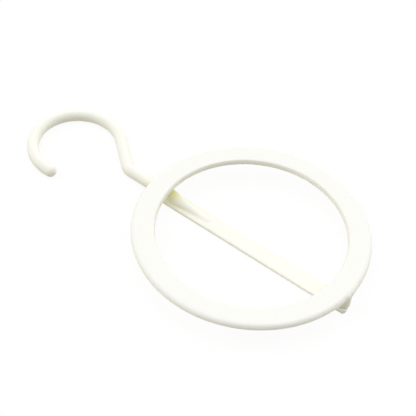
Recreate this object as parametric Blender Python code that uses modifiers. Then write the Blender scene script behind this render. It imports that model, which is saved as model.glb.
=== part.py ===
"""Space-saving hanger: a flat ring over a sprung bar, carried by a round rod hook.

The hanger lies on the floor with its hook along +Y. Lengths are in metres, and +Z is up.
The ring, hook, neck post, root rib and closing tab are one rigid moulding. The bar springs
away from the ring about the toe of the root rib.
"""

import math

import bmesh
import bpy
from mathutils import Vector

PART_NAME = "space_saving_hanger"
CUTTER_NAME = "cutters"

# Ring
RING_RADIUS = 0.065
BAND_WIDTH = 0.013
RING_THICKNESS = 0.003
RIM_ROUND_HEIGHT = 0.0024
RIM_ROUND_REACH = 0.0042
HOLE_ROUND = 0.0023
UNDER_ROUND = 0.0004
RING_STEPS = 128
ROUND_STEPS = 6

# Sprung bar
BAR_WIDTH = 0.0104
BAR_THICKNESS = 0.002
BAR_END_INSET = 0.0005
BAR_END_ROUND = 0.004

# Clear height between the bar and the ring
SLOT_HEIGHT = 0.0105

# Hook
ROD_RADIUS = 0.0035
STEM_LENGTH = 0.0214
BEND_RADIUS = 0.0065
LOOP_RADIUS = 0.0256
LOOP_DISTANCE = 0.0562
LOOP_OFFSET = 0.0043
TIP_ANGLE = math.radians(185)
BEND_STEPS = 8
LOOP_STEPS = 40
DOME_STEPS = 4
ROD_BEVEL_RESOLUTION = 6

# Neck post, and the root rib that tapers from the rod's size down to its toe
POST_ROUND = 0.0014
POST_ROUND_STEPS = 3
RIB_RUN = 0.023
RIB_SIDES = 32
TOE_RADIUS = 0.0009
TOE_LAND = 0.001

# Closing tab
TAB_RADIUS = 0.0035
TAB_SIDES = 32

# Small round on the square edges of the bar, post and tab
EDGE_ROUND = 0.0003

# Gap kept between pieces that touch
FIT_GAP = 0.0003

# Heights above the floor
RING_UNDER = BAR_THICKNESS + SLOT_HEIGHT
RING_TOP = RING_UNDER + RING_THICKNESS
HALF_GAP = FIT_GAP / 2

# Places along the hook's axis, from the ring's centre
HOLE_RADIUS = RING_RADIUS - BAND_WIDTH
POST_OUTER_Y = RING_RADIUS - FIT_GAP
RIB_OUTER_Y = HOLE_RADIUS - FIT_GAP
TOE_Y = RIB_OUTER_Y - RIB_RUN
FLEX_Y = TOE_Y - TOE_LAND
BEND_Y = RING_RADIUS + STEM_LENGTH
LOOP_Y = RING_RADIUS + LOOP_DISTANCE
LOOP_TOP_Y = LOOP_Y + LOOP_RADIUS + ROD_RADIUS
TAB_Y = RING_RADIUS - TAB_RADIUS

# The part's middle stands over the world's origin
RING_CENTRE_Y = -(LOOP_TOP_Y - RING_RADIUS) / 2

IVORY = (0.90, 0.87, 0.79, 1.0)
WARM_IVORY = (0.90, 0.86, 0.75, 1.0)


def clear_scene():
    """Remove every object that the file starts with."""
    for item in list(bpy.data.objects):
        bpy.data.objects.remove(item, do_unlink=True)


def new_collection(name):
    """A collection in the scene."""
    collection = bpy.data.collections.new(name)
    bpy.context.scene.collection.children.link(collection)
    return collection


def plastic(name, colour, roughness):
    """A Principled material for one moulded piece."""
    material = bpy.data.materials.new(name)
    material.use_nodes = True
    shader = material.node_tree.nodes["Principled BSDF"]
    shader.inputs["Base Color"].default_value = colour
    shader.inputs["Roughness"].default_value = roughness
    shader.inputs["Metallic"].default_value = 0.0
    return material


def add_object(name, data, collection, material, parent, location=(0, 0, 0)):
    """Link an object with its material under its parent empty."""
    item = bpy.data.objects.new(name, data)
    item.location = location
    item.parent = parent
    data.materials.clear()
    data.materials.append(material)
    collection.objects.link(item)
    return item


def add_empty(name, collection, location, parent=None):
    """An empty that carries pieces."""
    empty = bpy.data.objects.new(name, None)
    empty.location = location
    empty.parent = parent
    collection.objects.link(empty)
    return empty


def add_bevel(item, width):
    """Round an object's square edges."""
    bevel = item.modifiers.new("edge_round", "BEVEL")
    bevel.width = width
    bevel.segments = 2
    bevel.limit_method = "ANGLE"
    bevel.angle_limit = math.radians(60)


def shade_round(mesh):
    """Shade a mesh smooth, and keep its sharp edges."""
    mesh.shade_smooth()
    mesh.set_sharp_from_angle(angle=math.radians(40))


def oval_points(centre, reach, rise, start, end, steps):
    """Points on part of an oval, with both ends."""
    points = []
    for step in range(steps + 1):
        angle = start + (end - start) * step / steps
        points.append((centre[0] + reach * math.cos(angle), centre[1] + rise * math.sin(angle)))
    return points


def arc_points(centre, radius, start, end, steps):
    """Points on an arc, with both ends."""
    return oval_points(centre, radius, radius, start, end, steps)


def prism(points, thickness):
    """A closed mesh from a flat outline, extruded by its thickness along the outline's normal."""
    mesh = bpy.data.meshes.new("prism")
    shape = bmesh.new()
    corners = [shape.verts.new((x, y, 0)) for x, y in points]
    face = shape.faces.new(corners)
    pushed = bmesh.ops.extrude_face_region(shape, geom=[face])
    top = [part for part in pushed["geom"] if isinstance(part, bmesh.types.BMVert)]
    bmesh.ops.translate(shape, verts=top, vec=(0, 0, thickness))
    bmesh.ops.recalc_face_normals(shape, faces=shape.faces)
    shape.to_mesh(mesh)
    shape.free()
    return mesh


def ring_section():
    """The band's section as distance from the centre and height, with its four edges rounded."""
    quarter = math.pi / 2
    rim_low = (RING_RADIUS - UNDER_ROUND, RING_UNDER + UNDER_ROUND)
    rim_high = (RING_RADIUS - RIM_ROUND_REACH, RING_TOP - RIM_ROUND_HEIGHT)
    hole_high = (HOLE_RADIUS + HOLE_ROUND, RING_TOP - HOLE_ROUND)
    hole_low = (HOLE_RADIUS + UNDER_ROUND, RING_UNDER + UNDER_ROUND)
    low_steps = ROUND_STEPS // 3
    section = arc_points(rim_low, UNDER_ROUND, -quarter, 0, low_steps)
    section += oval_points(rim_high, RIM_ROUND_REACH, RIM_ROUND_HEIGHT, 0, quarter, ROUND_STEPS)
    section += arc_points(hole_high, HOLE_ROUND, quarter, 2 * quarter, ROUND_STEPS)
    section += arc_points(hole_low, UNDER_ROUND, 2 * quarter, 3 * quarter, low_steps)
    return section


def build_ring(collection, parent):
    """The flat ring: its section turned about the vertical axis."""
    section = ring_section()
    mesh = bpy.data.meshes.new("ring")
    corners = [(radius, 0, height) for radius, height in section]
    edges = [(index, (index + 1) % len(corners)) for index in range(len(corners))]
    mesh.from_pydata(corners, edges, [])
    ring = add_object("ring", mesh, collection, plastic("ring_plastic", IVORY, 0.38), parent)
    turn = ring.modifiers.new("turn", "SCREW")
    turn.axis = "Z"
    turn.angle = math.tau
    turn.steps = RING_STEPS
    turn.render_steps = RING_STEPS
    turn.use_merge_vertices = True
    turn.merge_threshold = 0.00001
    turn.use_normal_calculate = True
    turn.use_smooth_shade = True
    return ring


def hook_path():
    """The rod's centre line in plan, from the neck to the tip, and the direction it ends in."""
    corner = Vector((0, BEND_Y))
    centre = Vector((-LOOP_OFFSET, LOOP_Y))
    reach = centre - corner
    heading = math.atan2(reach.y, reach.x) - math.asin(LOOP_RADIUS / reach.length)
    turn = math.pi / 2 - heading
    setback = BEND_RADIUS * math.tan(turn / 2)
    bend_centre = (BEND_RADIUS, BEND_Y - setback)
    path = [(0, RING_RADIUS)]
    path += arc_points(bend_centre, BEND_RADIUS, math.pi, math.pi - turn, BEND_STEPS)
    path += arc_points(centre, LOOP_RADIUS, heading - math.pi / 2, TIP_ANGLE, LOOP_STEPS)
    return path, TIP_ANGLE + math.pi / 2


def build_hook(collection, parent):
    """The round rod hook, with a domed tip made by points of falling radius."""
    path, heading = hook_path()
    points = [(x, y, 1.0) for x, y in path]
    end_x, end_y = path[-1]
    for step in range(1, DOME_STEPS + 1):
        angle = math.pi / 2 * step / (DOME_STEPS + 0.5)
        ahead = ROD_RADIUS * math.sin(angle)
        points.append((end_x + ahead * math.cos(heading), end_y + ahead * math.sin(heading), math.cos(angle)))
    curve = bpy.data.curves.new("hook", "CURVE")
    curve.dimensions = "3D"
    curve.bevel_depth = ROD_RADIUS
    curve.bevel_resolution = ROD_BEVEL_RESOLUTION
    curve.use_fill_caps = True
    spline = curve.splines.new("POLY")
    spline.points.add(len(points) - 1)
    for knot, (x, y, share) in zip(spline.points, points):
        knot.co = (x, y, ROD_RADIUS, 1.0)
        knot.radius = share
    return add_object("hook", curve, collection, plastic("hook_plastic", IVORY, 0.36), parent)


def post_outline():
    """The neck post in plan: a rectangle with round corners."""
    corner_x = ROD_RADIUS - POST_ROUND
    middle = (HOLE_RADIUS + POST_OUTER_Y) / 2
    corner_y = (POST_OUTER_Y - HOLE_RADIUS) / 2 - POST_ROUND
    outline = []
    for index, (side, end) in enumerate([(1, 1), (-1, 1), (-1, -1), (1, -1)]):
        start = index * math.pi / 2
        centre = (side * corner_x, middle + end * corner_y)
        outline += arc_points(centre, POST_ROUND, start, start + math.pi / 2, POST_ROUND_STEPS)
    return outline


def build_neck_post(collection, parent):
    """The block under the band that carries the ring on the end of the stem."""
    mesh = prism(post_outline(), RING_UNDER - FIT_GAP)
    post = add_object("neck_post", mesh, collection, plastic("post_plastic", IVORY, 0.4), parent)
    add_bevel(post, EDGE_ROUND)
    return post


def build_root_cone(collection, material, parent):
    """A round taper from the rod's size at the post to a toe that ends inside the bar's plate."""
    mesh = bpy.data.meshes.new("root_cone")
    shape = bmesh.new()
    bmesh.ops.create_cone(
        shape, cap_ends=True, segments=RIB_SIDES, radius1=ROD_RADIUS, radius2=TOE_RADIUS, depth=RIB_RUN
    )
    toe = [corner for corner in shape.verts if corner.co.z > 0]
    bmesh.ops.translate(shape, verts=toe, vec=(0, TOE_RADIUS - ROD_RADIUS, 0))
    shape.to_mesh(mesh)
    shape.free()
    shade_round(mesh)
    place = (0, RIB_OUTER_Y - RIB_RUN / 2, ROD_RADIUS + HALF_GAP)
    cone = add_object("root_cone", mesh, collection, material, parent, place)
    cone.rotation_euler = (math.pi / 2, 0, 0)
    cone.hide_render = True
    cone.display_type = "WIRE"
    return cone


def build_root_rib(collection, cutters, parent):
    """The bar's fixed root plate with the tapered rib on it, joined as one solid."""
    half_bar = BAR_WIDTH / 2
    near_y = FLEX_Y + HALF_GAP
    plate_outline = [(-half_bar, near_y), (half_bar, near_y), (half_bar, RIB_OUTER_Y), (-half_bar, RIB_OUTER_Y)]
    material = plastic("rib_plastic", WARM_IVORY, 0.4)
    rib = add_object("root_rib", prism(plate_outline, BAR_THICKNESS), collection, material, parent)
    join = rib.modifiers.new("join_cone", "BOOLEAN")
    join.operation = "UNION"
    join.solver = "EXACT"
    join.object = build_root_cone(cutters, material, parent)
    return rib


def build_closing_tab(collection, parent):
    """The round tab under the far rim."""
    mesh = bpy.data.meshes.new("closing_tab")
    low = BAR_THICKNESS + FIT_GAP
    high = RING_UNDER - FIT_GAP
    shape = bmesh.new()
    bmesh.ops.create_cone(
        shape, cap_ends=True, segments=TAB_SIDES, radius1=TAB_RADIUS, radius2=TAB_RADIUS, depth=high - low
    )
    shape.to_mesh(mesh)
    shape.free()
    shade_round(mesh)
    place = (0, -TAB_Y, (low + high) / 2)
    tab = add_object("closing_tab", mesh, collection, plastic("tab_plastic", IVORY, 0.4), parent, place)
    add_bevel(tab, EDGE_ROUND)
    return tab


def build_bar_strip(collection, parent):
    """The free length of the bar, with round corners at its end. Its parent stands on the joint."""
    half_bar = BAR_WIDTH / 2
    root = -HALF_GAP
    end = -(RING_RADIUS - BAR_END_INSET) - FLEX_Y
    corner_x = half_bar - BAR_END_ROUND
    corner_y = end + BAR_END_ROUND
    outline = [(half_bar, root), (-half_bar, root)]
    outline += arc_points((-corner_x, corner_y), BAR_END_ROUND, math.pi, 1.5 * math.pi, ROUND_STEPS)
    outline += arc_points((corner_x, corner_y), BAR_END_ROUND, 1.5 * math.pi, math.tau, ROUND_STEPS)
    mesh = prism(outline, BAR_THICKNESS)
    place = (0, 0, -BAR_THICKNESS / 2)
    strip = add_object("bar_strip", mesh, collection, plastic("bar_plastic", WARM_IVORY, 0.42), parent, place)
    add_bevel(strip, EDGE_ROUND)
    return strip


def main():
    clear_scene()
    parts = new_collection(PART_NAME)
    cutters = new_collection(CUTTER_NAME)
    frame = add_empty("moulding", parts, (0, RING_CENTRE_Y, 0))
    hinge = add_empty("bar_joint", parts, (0, FLEX_Y, BAR_THICKNESS / 2), frame)
    build_ring(parts, frame)
    build_hook(parts, frame)
    build_neck_post(parts, frame)
    build_root_rib(parts, cutters, frame)
    build_closing_tab(parts, frame)
    build_bar_strip(parts, hinge)


main()
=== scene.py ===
import itertools
import math

import bmesh
import bpy
import numpy as np
from mathutils import Matrix, Vector


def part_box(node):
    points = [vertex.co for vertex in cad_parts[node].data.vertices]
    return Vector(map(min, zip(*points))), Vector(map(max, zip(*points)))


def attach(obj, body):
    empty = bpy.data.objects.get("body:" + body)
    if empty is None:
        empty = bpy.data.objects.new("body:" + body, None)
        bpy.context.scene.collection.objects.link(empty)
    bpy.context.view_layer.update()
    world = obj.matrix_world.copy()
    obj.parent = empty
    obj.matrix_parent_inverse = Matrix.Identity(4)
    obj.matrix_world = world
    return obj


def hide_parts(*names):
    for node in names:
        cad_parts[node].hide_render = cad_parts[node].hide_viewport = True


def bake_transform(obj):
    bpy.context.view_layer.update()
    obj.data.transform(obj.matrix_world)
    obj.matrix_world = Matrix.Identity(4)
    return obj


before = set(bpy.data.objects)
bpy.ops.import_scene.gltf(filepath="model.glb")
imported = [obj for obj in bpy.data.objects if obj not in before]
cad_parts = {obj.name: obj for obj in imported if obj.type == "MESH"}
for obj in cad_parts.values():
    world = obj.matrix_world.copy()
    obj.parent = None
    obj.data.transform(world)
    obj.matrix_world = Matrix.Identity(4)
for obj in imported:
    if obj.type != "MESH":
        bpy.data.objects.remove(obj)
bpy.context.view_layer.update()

# Sizes are in metres, and places along y are from the ring's centre until a mesh is made
RING_CENTRE_Y = sum(corner.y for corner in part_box("ring")) / 2

# Ring
RING_RADIUS = 0.065
HOLE_RADIUS = 0.052
RING_TOP = 0.0155
RING_UNDER = 0.0125
RIM_ROUND_REACH = 0.0023
RIM_ROUND_HEIGHT = 0.0025
HOLE_ROUND_REACH = 0.0012
HOLE_ROUND_HEIGHT = 0.0026
RIM_UNDER_ROUND = 0.0005
HOLE_UNDER_ROUND = 0.00025

# Bar, with its free end and its fixed root plate
BAR_WIDTH = 0.0104
BAR_THICKNESS = 0.002
BAR_EDGE = 0.0002
BAR_SHOULDER = 0.0009
BAR_END_Y = -0.0646
BAR_END_ROUND = 0.002
BAR_END_SLANT = 0.25
SLANT_START_X = -0.0014
NOSE_Y = -0.048
NOSE_NARROWING = 0.012
PLATE_OUTER_Y = 0.0605

# Seam between plate and bar
SEAM_Y = 0.0277
SEAM_OVERLAP = 0.004
SEAM_CUT_REACH = 0.002

# Round rod of stem, bend, straight run and loop
ROD_RADIUS = 0.0035
STEM_START_Y = 0.060
BEND_Y = 0.0864
BEND_RADIUS = 0.0065
LOOP_RADIUS = 0.0256
LOOP_CENTRE = (-0.0043, 0.1212)
LOOP_TOP_Y = 0.1504
TIP_ANGLE = math.radians(185)

# Neck post and rib
POST_FRONT_Y = 0.0550
POST_BACK_Y = 0.0635
POST_ROUND = 0.0022
RIB_OUTER_Y = 0.0545
RIB_SPREAD = 1.12
TOE_Y = 0.0295
TOE_RADIUS = 0.0012

# Closing tab
TAB_RADIUS = 0.0034
TAB_Y = -0.0613
TAB_UNDER = 0.0023
TAB_EDGE = 0.0005

# How far post and tab reach up into the ring, and the fillets where the members run together
JOIN_DEPTH = 0.0005
NECK_FILLET = 0.0012
POST_FILLET = 0.001
RIB_FILLET = 0.0012
ROOT_FILLET = 0.0012
TAB_FILLET = 0.003

# Grid that the forms are meshed on, the step and least steepness for their slopes, and tolerances
CELL = ((0.00055, 0.00055, 0.0004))
SPARE_CELLS = 2
SLOPE_STEP = 1e-6
LEAST_STEEPNESS = 0.05
LEAST_SHARE = 1e-9
CUT_TOLERANCE = 1e-7
SEAM_TOLERANCE = 1e-6

# Ivory plastic: its own colour on the level top, painted light on low members, and painted shade on
# sides, undersides and deep corners
PALE_IVORY = (0.955, 0.952, 0.915, 1.0)
PAINTED_LIGHT_IVORY = (0.98, 0.975, 0.90, 1.0)
PAINTED_SIDE_SHADE_IVORY = (0.96, 0.94, 0.77, 1.0)
PAINTED_CORNER_SHADE_IVORY = (0.985, 0.935, 0.46, 1.0)

# Where the painted light and shade set in: the height under which low members get painted light,
# how far a surface faces up before it gets painted side shade, and how open its corners are before
# they get painted corner shade
LOW_LEVEL = 0.007
TOP_FACING = 0.9
SIDE_FACING = 0.1
OPEN_CORNER = 0.95
DEEP_CORNER = 0.5
CORNER_REACH = 0.012
CLOUD_SHARE = 0.08

# The plastic's satin: roughness, what rubbing and grain add to it, and their shares of the relief
SATIN = 0.34
RUBBED_ROUGHNESS = 0.14
GRAIN_ROUGHNESS = 0.04
GRAIN_RELIEF = 0.7
RUBBED_RELIEF = 0.3

# Studio floor
WHITE = (1.0, 1.0, 1.0, 1.0)
FLOOR_TONE = (0.74, 0.74, 0.74, 1.0)
PLAIN_SHARE = 0.92
FLOOR_REACH = 3.0
FLOOR_DROP = 0.0001

# Camera: its turns, the ring's place before it in ring radii, and its focal length in pixels
CAMERA_TURN = math.radians(-56.5)
CAMERA_ROLL = -0.0951785
CAMERA_TILT = -0.746116
RING_PLACE = (0.3636011, -0.1787502, -9.7106729)
FOCAL_PIXELS = 1176.883
PICTURE_PIXELS = 416
SENSOR_WIDTH = 36.0
CLIP_START = 0.01

# The tent's bright panels: level, then place to the camera's right, away from it and up
TENT_PANELS = ((1.92, 0.0, 0.0, 1.0), (2.6, 0.8, 0.6, 0.0), (1.42, -0.9, 0.1, 0.45))


# Rounding and joining of forms, each given as a distance that is below zero inside


def rounded_corner(a, b, reach_a, reach_b):
    """Distance to the edge where two faces meet, rounded by an oval."""
    u, v = a + reach_a, b + reach_b
    share = np.maximum(np.hypot(u / reach_a, v / reach_b), LEAST_SHARE)
    return np.where((u > 0) & (v > 0), (share - 1) * np.hypot(u, v) / share, np.maximum(a, b))


def rounded_box(offsets, radius):
    """Distance to a box whose faces lie where the offsets are zero, with all its edges rounded."""
    past = [offset + radius for offset in offsets]
    outside = np.sqrt(sum(np.maximum(p, 0) ** 2 for p in past))
    return outside + np.minimum(np.maximum.reduce(past), 0) - radius


def fillet_join(a, b, radius):
    """Two forms joined with a fillet of this radius."""
    reach = np.hypot(np.maximum(radius - a, 0), np.maximum(radius - b, 0))
    return np.maximum(radius, np.minimum(a, b)) - reach


def line_distance(x, y, start, end):
    """Distance in plan to a straight piece of the rod's centre line."""
    run = np.subtract(end, start)
    share = np.clip(((x - start[0]) * run[0] + (y - start[1]) * run[1]) / (run @ run), 0, 1)
    return np.hypot(x - start[0] - share * run[0], y - start[1] - share * run[1])


def arc_distance(x, y, centre, radius, start, end):
    """Distance in plan to an arc of the rod's centre line, with its angles in radians."""
    middle, half = (start + end) / 2, abs(end - start) / 2
    turn = (np.arctan2(y - centre[1], x - centre[0]) - middle + math.pi) % math.tau - math.pi
    turn = np.clip(turn, -half, half) + middle
    return np.hypot(x - centre[0] - radius * np.cos(turn), y - centre[1] - radius * np.sin(turn))


# Members of the hanger


def band(x, y, z):
    """The flat ring, with wide soft edges on top and narrow ones below."""
    radius = np.hypot(x, y)
    rim, hole = radius - RING_RADIUS, HOLE_RADIUS - radius
    top, under = z - RING_TOP, RING_UNDER - z
    return np.maximum.reduce([
        rounded_corner(rim, top, RIM_ROUND_REACH, RIM_ROUND_HEIGHT),
        rounded_corner(hole, top, HOLE_ROUND_REACH, HOLE_ROUND_HEIGHT),
        rounded_corner(rim, under, RIM_UNDER_ROUND, RIM_UNDER_ROUND),
        rounded_corner(hole, under, HOLE_UNDER_ROUND, HOLE_UNDER_ROUND),
    ])


def rod(x, y, z):
    """The round rod of the stem, bend, straight run and loop, with a domed tip."""
    corner = np.array((0, BEND_Y))
    reach = np.subtract(LOOP_CENTRE, corner)
    heading = math.atan2(reach[1], reach[0]) - math.asin(LOOP_RADIUS / np.linalg.norm(reach))
    turn = math.pi / 2 - heading
    setback = BEND_RADIUS * math.tan(turn / 2)
    ahead = np.array((math.cos(heading), math.sin(heading)))
    bend_centre = (BEND_RADIUS, BEND_Y - setback)
    loop_start = heading - math.pi / 2
    spoke = (LOOP_RADIUS * math.cos(loop_start), LOOP_RADIUS * math.sin(loop_start))
    plan = np.minimum.reduce([
        line_distance(x, y, (0, STEM_START_Y), (0, BEND_Y - setback)),
        arc_distance(x, y, bend_centre, BEND_RADIUS, math.pi - turn, math.pi),
        line_distance(x, y, corner + setback * ahead, np.add(LOOP_CENTRE, spoke)),
        arc_distance(x, y, LOOP_CENTRE, LOOP_RADIUS, loop_start, TIP_ANGLE),
    ])
    return np.hypot(plan, z - ROD_RADIUS) - ROD_RADIUS


def post(x, y, z):
    """The round-cornered column between the rod below it and the ring above it."""
    side = rounded_box([np.abs(x) - ROD_RADIUS, POST_FRONT_Y - y, y - POST_BACK_Y], POST_ROUND)
    return np.maximum.reduce([side, -z, z - RING_UNDER - JOIN_DEPTH])


def rib(x, y, z):
    """The oval taper from the post down to its toe on the bar."""
    share = np.clip((y - TOE_Y) / (RIB_OUTER_Y - TOE_Y), 0, 1)
    radius = TOE_RADIUS + (ROD_RADIUS - TOE_RADIUS) * share
    along = y - np.clip(y, TOE_Y, RIB_OUTER_Y)
    return np.sqrt((x / RIB_SPREAD) ** 2 + along**2 + (z - radius) ** 2) - radius


def blade(outline, z):
    """A flat blade of this outline, with soft shoulders round its top."""
    top = rounded_corner(outline, z - BAR_THICKNESS, BAR_SHOULDER, BAR_SHOULDER)
    return np.maximum(top, rounded_corner(outline, -z, BAR_EDGE, BAR_EDGE))


def plate(x, y, z):
    """The bar's fixed root, which runs on past the seam so that it can be cut there."""
    side = np.abs(x) - BAR_WIDTH / 2
    ends = [y - PLATE_OUTER_Y, SEAM_Y - SEAM_OVERLAP - y]
    return blade(np.maximum.reduce([side, *ends]), z)


def strip(x, y, z):
    """The free bar, which runs on past the seam, and is narrower and cut off aslant at its end."""
    side = np.abs(x) - BAR_WIDTH / 2 + NOSE_NARROWING * np.maximum(NOSE_Y - y, 0)
    straight = BAR_END_Y - y
    aslant = (straight + BAR_END_SLANT * (x - SLANT_START_X)) / math.hypot(1, BAR_END_SLANT)
    end = rounded_corner(side, np.maximum(straight, aslant), BAR_END_ROUND, BAR_END_ROUND)
    return blade(np.maximum(end, y - SEAM_Y - SEAM_OVERLAP), z)


def tab(x, y, z):
    """The round tab under the far rim."""
    side = np.hypot(x, y - TAB_Y) - TAB_RADIUS
    column = rounded_corner(side, TAB_UNDER - z, TAB_EDGE, TAB_EDGE)
    return np.maximum(column, z - RING_UNDER - JOIN_DEPTH)


def moulding(x, y, z):
    """The whole rigid moulding, with the tab flush with the rim."""
    ring = band(x, y, z)
    flush = np.maximum(fillet_join(ring, tab(x, y, z), TAB_FILLET), np.hypot(x, y) - RING_RADIUS)
    ring = np.where(y < 0, flush, ring)
    neck = fillet_join(fillet_join(ring, post(x, y, z), POST_FILLET), rod(x, y, z), NECK_FILLET)
    root = fillet_join(plate(x, y, z), rib(x, y, z), RIB_FILLET)
    return np.maximum(fillet_join(neck, root, ROOT_FILLET), -z)


# Meshes of the forms


def surface_points(form, points, rounds=4):
    """Moves points onto the form's surface and gives the surface's directions there."""
    for _ in range(rounds + 1):
        slope = np.stack([
            (form(*(points + step).T) - form(*(points - step).T)) / (2 * SLOPE_STEP)
            for step in SLOPE_STEP * np.eye(3)
        ], axis=1)
        steepness = np.maximum((slope**2).sum(axis=1), LEAST_STEEPNESS)
        moved = points - slope * (form(*points.T) / steepness)[:, None]
        points, last = moved, points
    return last, slope / np.linalg.norm(slope, axis=1)[:, None]


def cell_corners(values, axes):
    """One corner for each cell that the surface crosses, at the middle of its edges' crossings."""
    size = np.array(values.shape) - 1
    total, crossings = np.zeros((*size, 3)), np.zeros(size)
    for axis in range(3):
        others = [a for a in range(3) if a != axis]
        for shift in itertools.product((0, 1), repeat=2):
            start, stop = [0, 0, 0], [0, 0, 0]
            for other, amount in zip(others, shift):
                start[other] = stop[other] = amount
            stop[axis] = 1
            first = values[tuple(slice(s, s + n) for s, n in zip(start, size))]
            second = values[tuple(slice(s, s + n) for s, n in zip(stop, size))]
            crossed = (first < 0) != (second < 0)
            place = np.broadcast_to(np.array(start, float), (*size, 3)).copy()
            place[..., axis] = np.where(crossed, first / np.where(crossed, first - second, 1), 0)
            total += place * crossed[..., None]
            crossings += crossed
    cells = np.argwhere(crossings > 0)
    number = np.full(size, -1)
    number[tuple(cells.T)] = np.arange(len(cells))
    offset = total[tuple(cells.T)] / crossings[tuple(cells.T)][:, None]
    return np.array([a[0] for a in axes]) + (cells + offset) * CELL, number


def cell_faces(values, number):
    """One four-sided face round each grid edge that the surface crosses, turned outwards."""
    faces = []
    inside, size = values < 0, number.shape
    for axis in range(3):
        u, v = (axis + 1) % 3, (axis + 2) % 3
        ahead = np.moveaxis(inside, axis, 0)
        spots = np.argwhere(np.moveaxis(ahead[:-1] ^ ahead[1:], 0, axis))
        below = (spots[:, u] < size[u]) & (spots[:, v] < size[v])
        spots = spots[(spots[:, u] > 0) & (spots[:, v] > 0) & below]
        step_u, step_v = np.eye(3, dtype=int)[u], np.eye(3, dtype=int)[v]
        round_edge = [spots - step_u - step_v, spots - step_v, spots, spots - step_u]
        quads = np.stack([number[tuple(spot.T)] for spot in round_edge], axis=1)
        outward = inside[tuple(spots.T)]
        faces.append(np.where(outward[:, None], quads, quads[:, ::-1]))
    return np.concatenate(faces)


def skin(form, low, high):
    """Corners and four-sided faces of a form's surface between two corners of a box."""
    axes = [
        np.arange(math.floor(a / c) - SPARE_CELLS, math.ceil(b / c) + SPARE_CELLS + 1) * c + c / 2
        for a, b, c in zip(low, high, CELL)
    ]
    values = form(*np.meshgrid(*axes, indexing="ij"))
    points, number = cell_corners(values, axes)
    return points, cell_faces(values, number)


def even_out(form, points, faces, rounds=3):
    """Slides the corners along the surface towards their neighbours' middle."""
    pairs = np.concatenate([faces[:, [a, (a + 1) % 4]] for a in range(4)])
    count = np.bincount(pairs[:, 0], minlength=len(points))[:, None]
    for _ in range(rounds):
        total = np.stack([
            np.bincount(pairs[:, 0], points[pairs[:, 1], axis], len(points)) for axis in range(3)
        ], axis=1)
        points, _ = surface_points(form, (points + total / count) / 2, rounds=2)
    return points


def cut_at_seam(shape, side):
    """Cuts the blade flat at the seam, takes off what lies past it and closes the end."""
    level = RING_CENTRE_Y + SEAM_Y

    def by_seam(corner, reach):
        low = corner.co.z < 2 * BAR_THICKNESS and abs(corner.co.x) < BAR_WIDTH
        return low and abs(corner.co.y - level) < reach

    def is_past(corner):
        beyond = (corner.co.y - level) * side < -SEAM_TOLERANCE
        return beyond and by_seam(corner, SEAM_OVERLAP + SEAM_CUT_REACH)

    def is_by_seam(face):
        return all(by_seam(corner, SEAM_CUT_REACH) for corner in face.verts)

    faces = [face for face in shape.faces if is_by_seam(face)]
    edges = {edge for face in faces for edge in face.edges}
    corners = {corner for face in faces for corner in face.verts}
    bmesh.ops.bisect_plane(shape, geom=faces + list(edges) + list(corners), dist=CUT_TOLERANCE,
                           plane_co=(0, level, 0), plane_no=(0, 1, 0))
    past = [corner for corner in shape.verts if is_past(corner)]
    bmesh.ops.delete(shape, geom=past, context="VERTS")
    open_edges = [edge for edge in shape.edges if edge.is_boundary]
    bmesh.ops.holes_fill(shape, edges=open_edges, sides=0)


def build_piece(name, form, low, high, side, plastic):
    """One closed smooth piece, cut flat at the seam; side is 1 to keep what lies past it."""
    points, faces = skin(form, low, high)
    points, _ = surface_points(form, points)
    points = np.clip(even_out(form, points, faces), low, high)
    mesh = bpy.data.meshes.new(name)
    mesh.from_pydata((points + (0, RING_CENTRE_Y, 0)).tolist(), [], faces.tolist())
    shape = bmesh.new()
    shape.from_mesh(mesh)
    cut_at_seam(shape, side)
    shape.to_mesh(mesh)
    shape.free()
    corners = np.zeros(len(mesh.vertices) * 3)
    mesh.vertices.foreach_get("co", corners)
    corners = corners.reshape(-1, 3) - (0, RING_CENTRE_Y, 0)
    _, directions = surface_points(form, corners, rounds=0)
    mesh.shade_smooth()
    mesh.normals_split_custom_set_from_vertices(directions.tolist())
    mesh.materials.append(plastic)
    piece = bpy.data.objects.new(name, mesh)
    bpy.context.scene.collection.objects.link(piece)
    return piece


# Shader expressions


class Socket:
    """A shader value that can stand in a Python expression, which adds its Math nodes."""

    def __init__(self, finish, output):
        self.finish, self.output = finish, output

    def __add__(self, other):
        return self.finish.maths("ADD", self, other)

    def __sub__(self, other):
        return self.finish.maths("SUBTRACT", self, other)

    def __rsub__(self, other):
        return self.finish.maths("SUBTRACT", other, self)

    def __mul__(self, other):
        return self.finish.maths("MULTIPLY", self, other)

    __radd__ = __add__
    __rmul__ = __mul__


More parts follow.
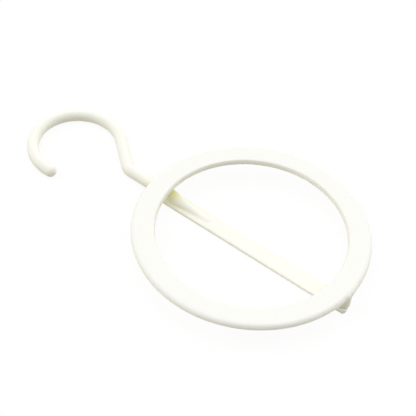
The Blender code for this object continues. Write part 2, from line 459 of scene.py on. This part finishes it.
class Finish:
    """The nodes of a material or of the world."""

    def __init__(self, owner):
        owner.use_nodes = True
        self.tree = owner.node_tree
        self.tree.nodes.clear()

    def node(self, kind, settings=None, output=0, **sockets):
        """One node: its settings, then its sockets' values or links, by name or as s and number."""
        made = self.tree.nodes.new(kind)
        for name, value in (settings or {}).items():
            setattr(made, name, value)
        for name, value in sockets.items():
            target = made.inputs[int(name[1:]) if name[1:].isdigit() else name.replace("_", " ")]
            if isinstance(value, Socket):
                self.tree.links.new(value.output, target)
            else:
                target.default_value = value
        return Socket(self, made.outputs[output]) if len(made.outputs) else None

    def maths(self, operation, first, second):
        """One Math node."""
        return self.node("ShaderNodeMath", {"operation": operation}, s0=first, s1=second)

    def height(self, vector):
        """The upward part of a place or direction."""
        return self.node("ShaderNodeSeparateXYZ", output="Z", Vector=vector)

    def fade(self, value, start, end, first, last):
        """Goes from first to last while the value goes from start to end."""
        return self.node("ShaderNodeMapRange", Value=value, s1=start, s2=end, s3=first, s4=last)

    def mix(self, share, first, second):
        """Goes from the first colour to the second with the share."""
        return self.node("ShaderNodeMix", {"data_type": "RGBA"}, output=2,
                         s0=share, s6=first, s7=second)

    def seen(self):
        """1 for rays that show the backdrop, also in reflections; 0 for rays that carry light."""
        camera, glossy, transmission = (
            self.node("ShaderNodeLightPath", output=f"Is {kind} Ray")
            for kind in ("Camera", "Glossy", "Transmission")
        )
        return camera + glossy + transmission


# Finishes


def ivory_plastic(name):
    """Satin moulded plastic with clouds and grain, paler and warmer low down as painted light, and
    warmer with painted shade on sides, undersides and in corners.
    """
    material = bpy.data.materials.new(name)
    finish = Finish(material)
    place = finish.node("ShaderNodeTexCoord", output="Object")
    facing = finish.node("ShaderNodeNewGeometry", output="Normal")
    level, up = finish.height(place), finish.height(facing)
    openness = finish.node("ShaderNodeAmbientOcclusion", {"samples": 8, "only_local": True},
                           output="AO", Distance=CORNER_REACH)
    cloud = finish.node("ShaderNodeTexNoise", Vector=place, Scale=42.0, Detail=3.0, Roughness=0.55)
    grain = finish.node("ShaderNodeTexNoise", Vector=place, Scale=2600.0, Detail=2.0, Roughness=0.6)
    rubbed = finish.node("ShaderNodeTexNoise", Vector=place, Scale=160.0, Detail=5.0,
                         Roughness=0.65)
    # Painted light: members low down, under the ring, are paler and warmer.
    painted_light_share = finish.fade(level, LOW_LEVEL, RING_UNDER, 1.0, 0.0)
    # Painted shade: sides and undersides, the less they face up, take a warm yellow shade tone.
    turned = finish.fade(up, TOP_FACING, SIDE_FACING, 0.0, 1.0)
    # Painted shade: corners that ambient occlusion finds closed take a deep yellow shade tone.
    closed = finish.fade(openness, OPEN_CORNER, DEEP_CORNER, 0.0, 1.0)
    top = finish.mix(painted_light_share, PALE_IVORY, PAINTED_LIGHT_IVORY)
    # Painted side shade; random clouds also add a little of this tone everywhere.
    side = finish.mix(turned + cloud * CLOUD_SHARE, top, PAINTED_SIDE_SHADE_IVORY)
    tone = finish.mix(closed, side, PAINTED_CORNER_SHADE_IVORY)
    roughness = SATIN + rubbed * RUBBED_ROUGHNESS + grain * GRAIN_ROUGHNESS
    relief = grain * GRAIN_RELIEF + rubbed * RUBBED_RELIEF
    bump = finish.node("ShaderNodeBump", Strength=0.12, Distance=0.00004, Height=relief)
    shader = finish.node("ShaderNodeBsdfPrincipled", Base_Color=tone, Roughness=roughness,
                         Normal=bump, IOR=1.49)
    finish.node("ShaderNodeOutputMaterial", Surface=shader)
    return material


def floor_white(name):
    """The floor's white: lit and shadowed, and mostly plain white where it is seen."""
    material = bpy.data.materials.new(name)
    finish = Finish(material)
    seen = finish.seen()
    lit = finish.node("ShaderNodeBsdfDiffuse", Color=finish.mix(seen, FLOOR_TONE, WHITE))
    plain = finish.node("ShaderNodeEmission", Color=WHITE, Strength=1.0)
    both = finish.node("ShaderNodeMixShader", s0=seen * PLAIN_SHARE, s1=lit, s2=plain)
    finish.node("ShaderNodeOutputMaterial", Surface=both)
    return material


# Studio


def build_floor():
    """One wide level sheet just under the hanger."""
    ends = ((-1, -1), (1, -1), (1, 1), (-1, 1))
    corners = [(x * FLOOR_REACH, y * FLOOR_REACH, -FLOOR_DROP) for x, y in ends]
    mesh = bpy.data.meshes.new("floor")
    mesh.from_pydata(corners, [], [(0, 1, 2, 3)])
    mesh.materials.append(floor_white("floor_white"))
    floor = bpy.data.objects.new("floor", mesh)
    bpy.context.scene.collection.objects.link(floor)


def build_camera():
    """The photograph's view, set from the ring's circle."""
    turned = Matrix.Rotation(CAMERA_ROLL, 3, "Z") @ Matrix.Rotation(CAMERA_TILT, 3, "X")
    place = -(turned.transposed() @ Vector(RING_PLACE)) * RING_RADIUS
    swing = Matrix.Rotation(CAMERA_TURN, 3, "Z")
    stand = swing @ place + Vector((0, RING_CENTRE_Y, RING_TOP))
    camera = bpy.data.objects.new("camera", bpy.data.cameras.new("camera"))
    camera.matrix_world = Matrix.LocRotScale(stand, swing @ turned.transposed(), None)
    camera.data.sensor_width = SENSOR_WIDTH
    camera.data.lens = FOCAL_PIXELS * SENSOR_WIDTH / PICTURE_PIXELS
    camera.data.clip_start = CLIP_START
    bpy.context.scene.collection.objects.link(camera)
    bpy.context.scene.camera = camera


def build_light():
    """A white tent with soft bright panels: above, to the right and behind, and to the left."""
    world = bpy.data.worlds.new("studio_tent")
    bpy.context.scene.world = world
    tent = Finish(world)
    way = tent.node("ShaderNodeTexCoord", output="Generated")
    panels = 0.0
    for level, right, away, up in TENT_PANELS:
        middle = Matrix.Rotation(CAMERA_TURN, 3, "Z") @ Vector((right, away, up)).normalized()
        facing = tent.node("ShaderNodeVectorMath", {"operation": "DOT_PRODUCT"}, output="Value",
                           s0=way, s1=middle)
        square = tent.maths("MAXIMUM", facing, 0.0) * facing
        panels = panels + square * square * level
    seen = tent.seen()
    glow = tent.node("ShaderNodeBackground", Color=WHITE, Strength=seen + (1 - seen) * panels)
    tent.node("ShaderNodeOutputWorld", Surface=glow)
    bpy.context.scene.view_settings.view_transform = "Standard"


# The two pieces, the body that the moulding rides on, and the solids that they stand for

plastic = ivory_plastic("ivory_plastic")
body = build_piece("hanger_moulding", moulding, (-RING_RADIUS, -RING_RADIUS, 0),
                   (RING_RADIUS, LOOP_TOP_Y, RING_TOP), 1, plastic)
bar = build_piece("hanger_bar", strip, (-BAR_WIDTH / 2, BAR_END_Y, 0),
                  (BAR_WIDTH / 2, SEAM_Y + SEAM_OVERLAP, BAR_THICKNESS), -1, plastic)

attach(body, "moulding")
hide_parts("ring", "hook", "neck_post", "root_rib", "closing_tab")

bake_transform(bar)
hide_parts("bar_strip")

build_floor()
build_camera()
build_light()
